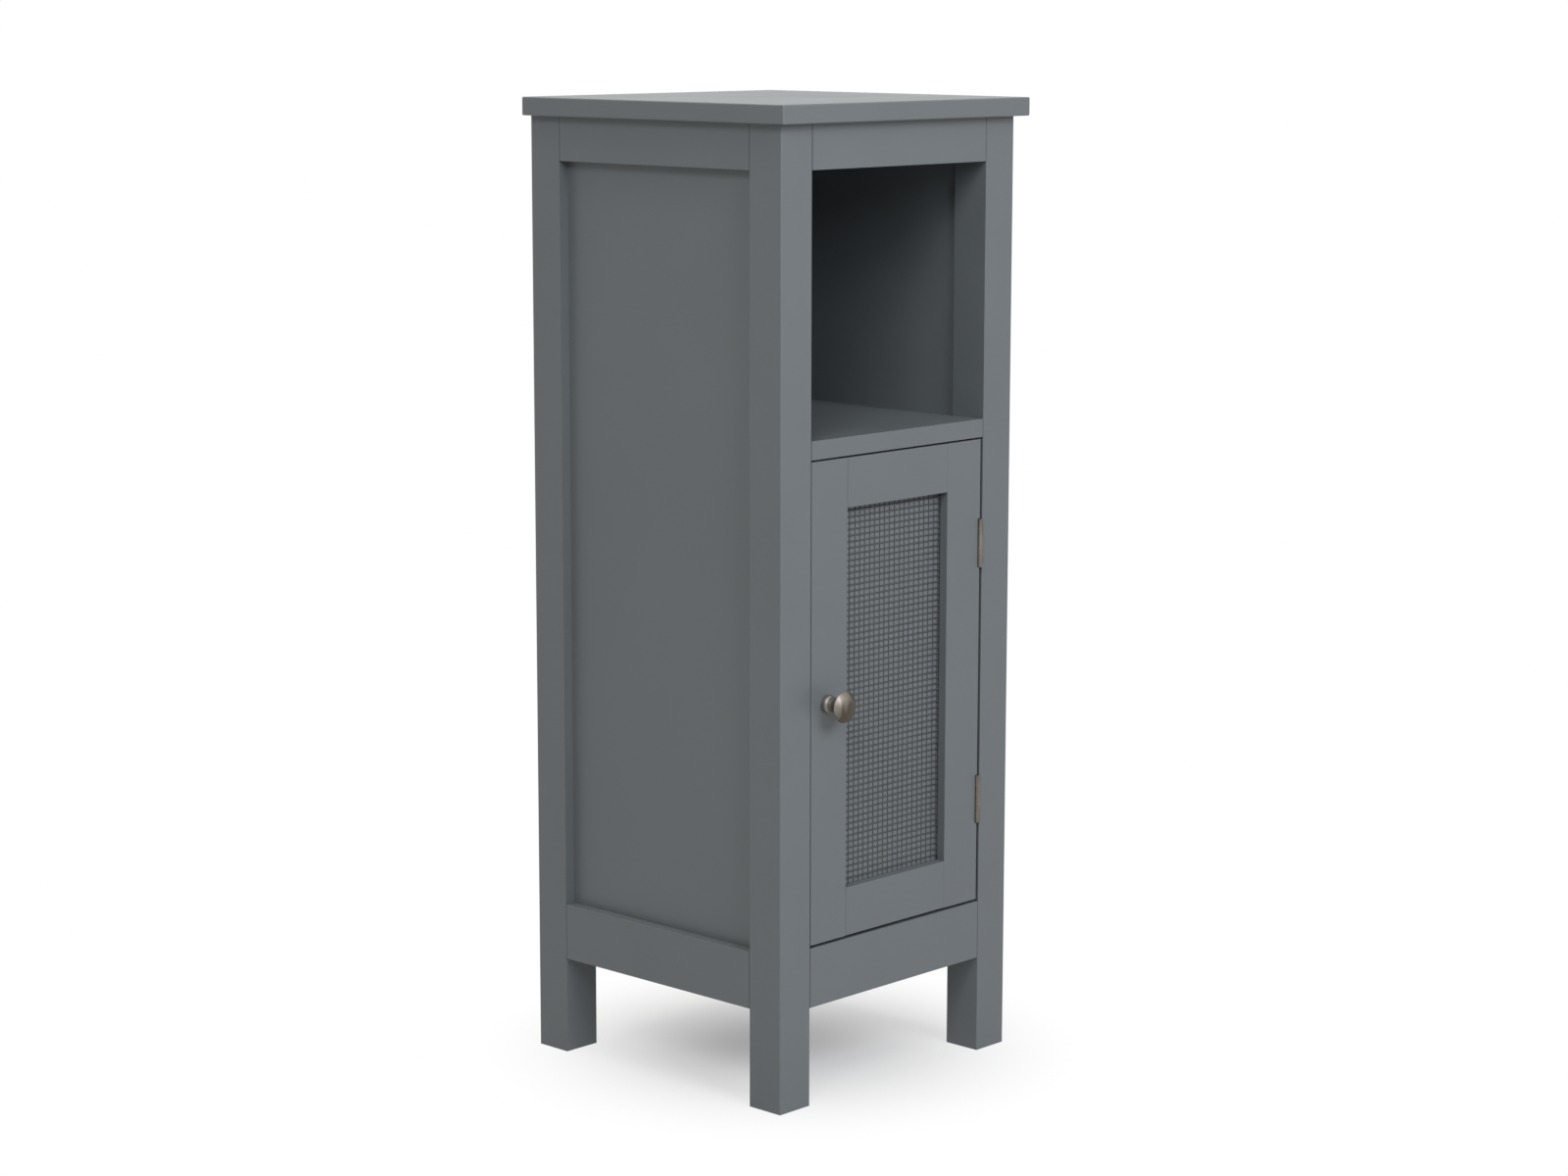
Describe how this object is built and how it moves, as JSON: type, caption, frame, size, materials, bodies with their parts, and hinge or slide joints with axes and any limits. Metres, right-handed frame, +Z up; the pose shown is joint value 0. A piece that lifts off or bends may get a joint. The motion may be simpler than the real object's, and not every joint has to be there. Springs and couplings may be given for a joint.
{
  "type": "pie safe cupboard",
  "caption": "Slim free-standing painted cupboard on straight legs, with an open niche over one inset wire mesh door that swings on butt hinges and has a round metal knob.",
  "frame": {"origin": "on the floor, under the middle of the whole object's box (knob included)", "axes": "+Z up, front with the door and knob towards -Y, +X to the right seen from the front"},
  "size_m": [0.35, 0.367, 0.955],
  "materials": {
    "grey_paint": "satin grey paint",
    "mesh_paint": "satin grey paint on wire",
    "bare_wood": "bare beech",
    "aged_pewter": "aged pewter plating",
    "steel": "zinc plated",
    "catch_plastic": "matte off-white",
    "magnet": "dull ferrite"
  },
  "bodies": {
    "cabinet": {"top_panel": "grey_paint", "front_left_post": "grey_paint", "front_right_post": "grey_paint", "back_left_post": "grey_paint", "back_right_post": "grey_paint", "front_top_rail": "grey_paint", "back_top_rail": "grey_paint", "left_top_rail": "grey_paint", "right_top_rail": "grey_paint", "front_apron": "grey_paint", "back_apron": "grey_paint", "left_apron": "grey_paint", "right_apron": "grey_paint", "left_side_panel": "grey_paint", "right_side_panel": "grey_paint", "left_lining": "grey_paint", "right_lining": "grey_paint", "back_panel": "grey_paint", "niche_floor": "grey_paint", "cupboard_floor": "grey_paint", "left_floor_cleat": "bare_wood", "right_floor_cleat": "bare_wood", "cleat_screws": "steel", "loose_shelf": "grey_paint", "shelf_pins": "steel", "rail_dowels": "bare_wood", "top_dowels": "bare_wood", "floor_dowels": "bare_wood", "upper_hinge_frame_leaf": "aged_pewter", "lower_hinge_frame_leaf": "aged_pewter", "upper_hinge_pin": "aged_pewter", "lower_hinge_pin": "aged_pewter", "frame_hinge_screws": "aged_pewter", "catch_case": "catch_plastic", "catch_magnet": "magnet", "catch_pole_plates": "steel", "catch_screws": "steel"},
    "door": {"door_latch_stile": "grey_paint", "door_hinge_stile": "grey_paint", "door_top_rail": "grey_paint", "door_bottom_rail": "grey_paint", "wire_mesh": "mesh_paint", "backing_board": "grey_paint", "backing_pins": "steel", "upper_hinge_door_leaf": "aged_pewter", "lower_hinge_door_leaf": "aged_pewter", "door_hinge_screws": "aged_pewter", "knob": "aged_pewter", "knob_screw": "steel", "strike_plate": "steel", "strike_screw": "steel"}
  },
  "joints": [
    {"name": "door_hinge", "type": "hinge", "parent": "cabinet", "child": "door", "pos_m": [0.1204, -0.1549, 0.39085], "axis": [0, 0, 1], "range_deg": [0, 170]}
  ]
}
